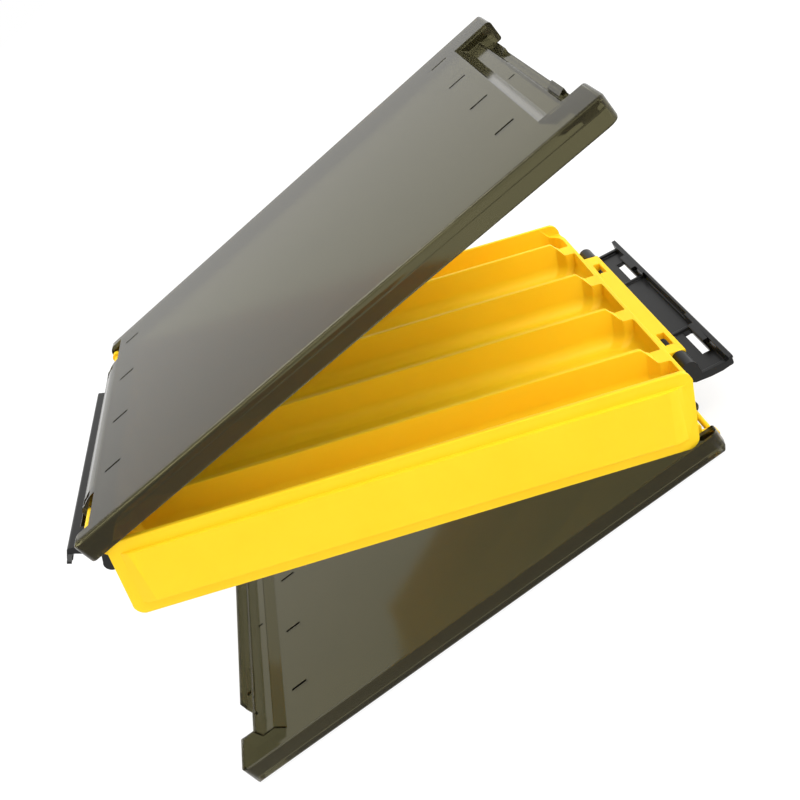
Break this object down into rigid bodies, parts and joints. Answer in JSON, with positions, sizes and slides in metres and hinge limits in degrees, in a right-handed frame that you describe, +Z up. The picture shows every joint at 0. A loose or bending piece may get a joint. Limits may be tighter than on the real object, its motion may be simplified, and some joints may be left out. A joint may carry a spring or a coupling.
{
  "type": "double-sided lure box",
  "caption": "Slim hinged storage box: a divided tray open on both faces, a clear lid on each face hinged at opposite ends, and a pivoting latch for each lid.",
  "frame": {"origin": "on the floor, midway along the whole opened box in X and Y", "axes": "+Z up, +X along the compartments from the upper lid's hinge end towards the lower lid's hinge, Y along the hinge lines"},
  "size_m": [0.226, 0.144, 0.1202],
  "materials": {
    "tray_plastic": "satin yellow polypropylene",
    "lid_plastic": "glossy smoke-tinted clear plastic",
    "latch_plastic": "satin black"
  },
  "bodies": {
    "tray": {"tray": "tray_plastic"},
    "upper_lid": {"upper_lid": "lid_plastic"},
    "lower_lid": {"lower_lid": "lid_plastic"},
    "upper_latch": {"upper_latch": "latch_plastic"},
    "lower_latch": {"lower_latch": "latch_plastic"}
  },
  "joints": [
    {"name": "upper_lid_hinge", "type": "hinge", "parent": "tray", "child": "upper_lid", "pos_m": [-0.08379, 0, 0.10996], "axis": [0, -1, 0], "range_deg": [-25.9, 154.1]},
    {"name": "lower_lid_hinge", "type": "hinge", "parent": "tray", "child": "lower_lid", "pos_m": [0.08379, 0, 0.0041], "axis": [0, -1, 0], "range_deg": [-24.1, 155.9]},
    {"name": "upper_latch_pivot", "type": "hinge", "parent": "tray", "child": "upper_latch", "pos_m": [0.0906, 0, 0.02055], "axis": [0, 1, 0], "range_deg": [-97.7, 39.3]},
    {"name": "lower_latch_pivot", "type": "hinge", "parent": "tray", "child": "lower_latch", "pos_m": [-0.09061, 0, 0.0935], "axis": [0, 1, 0], "range_deg": [-131, 6]}
  ]
}
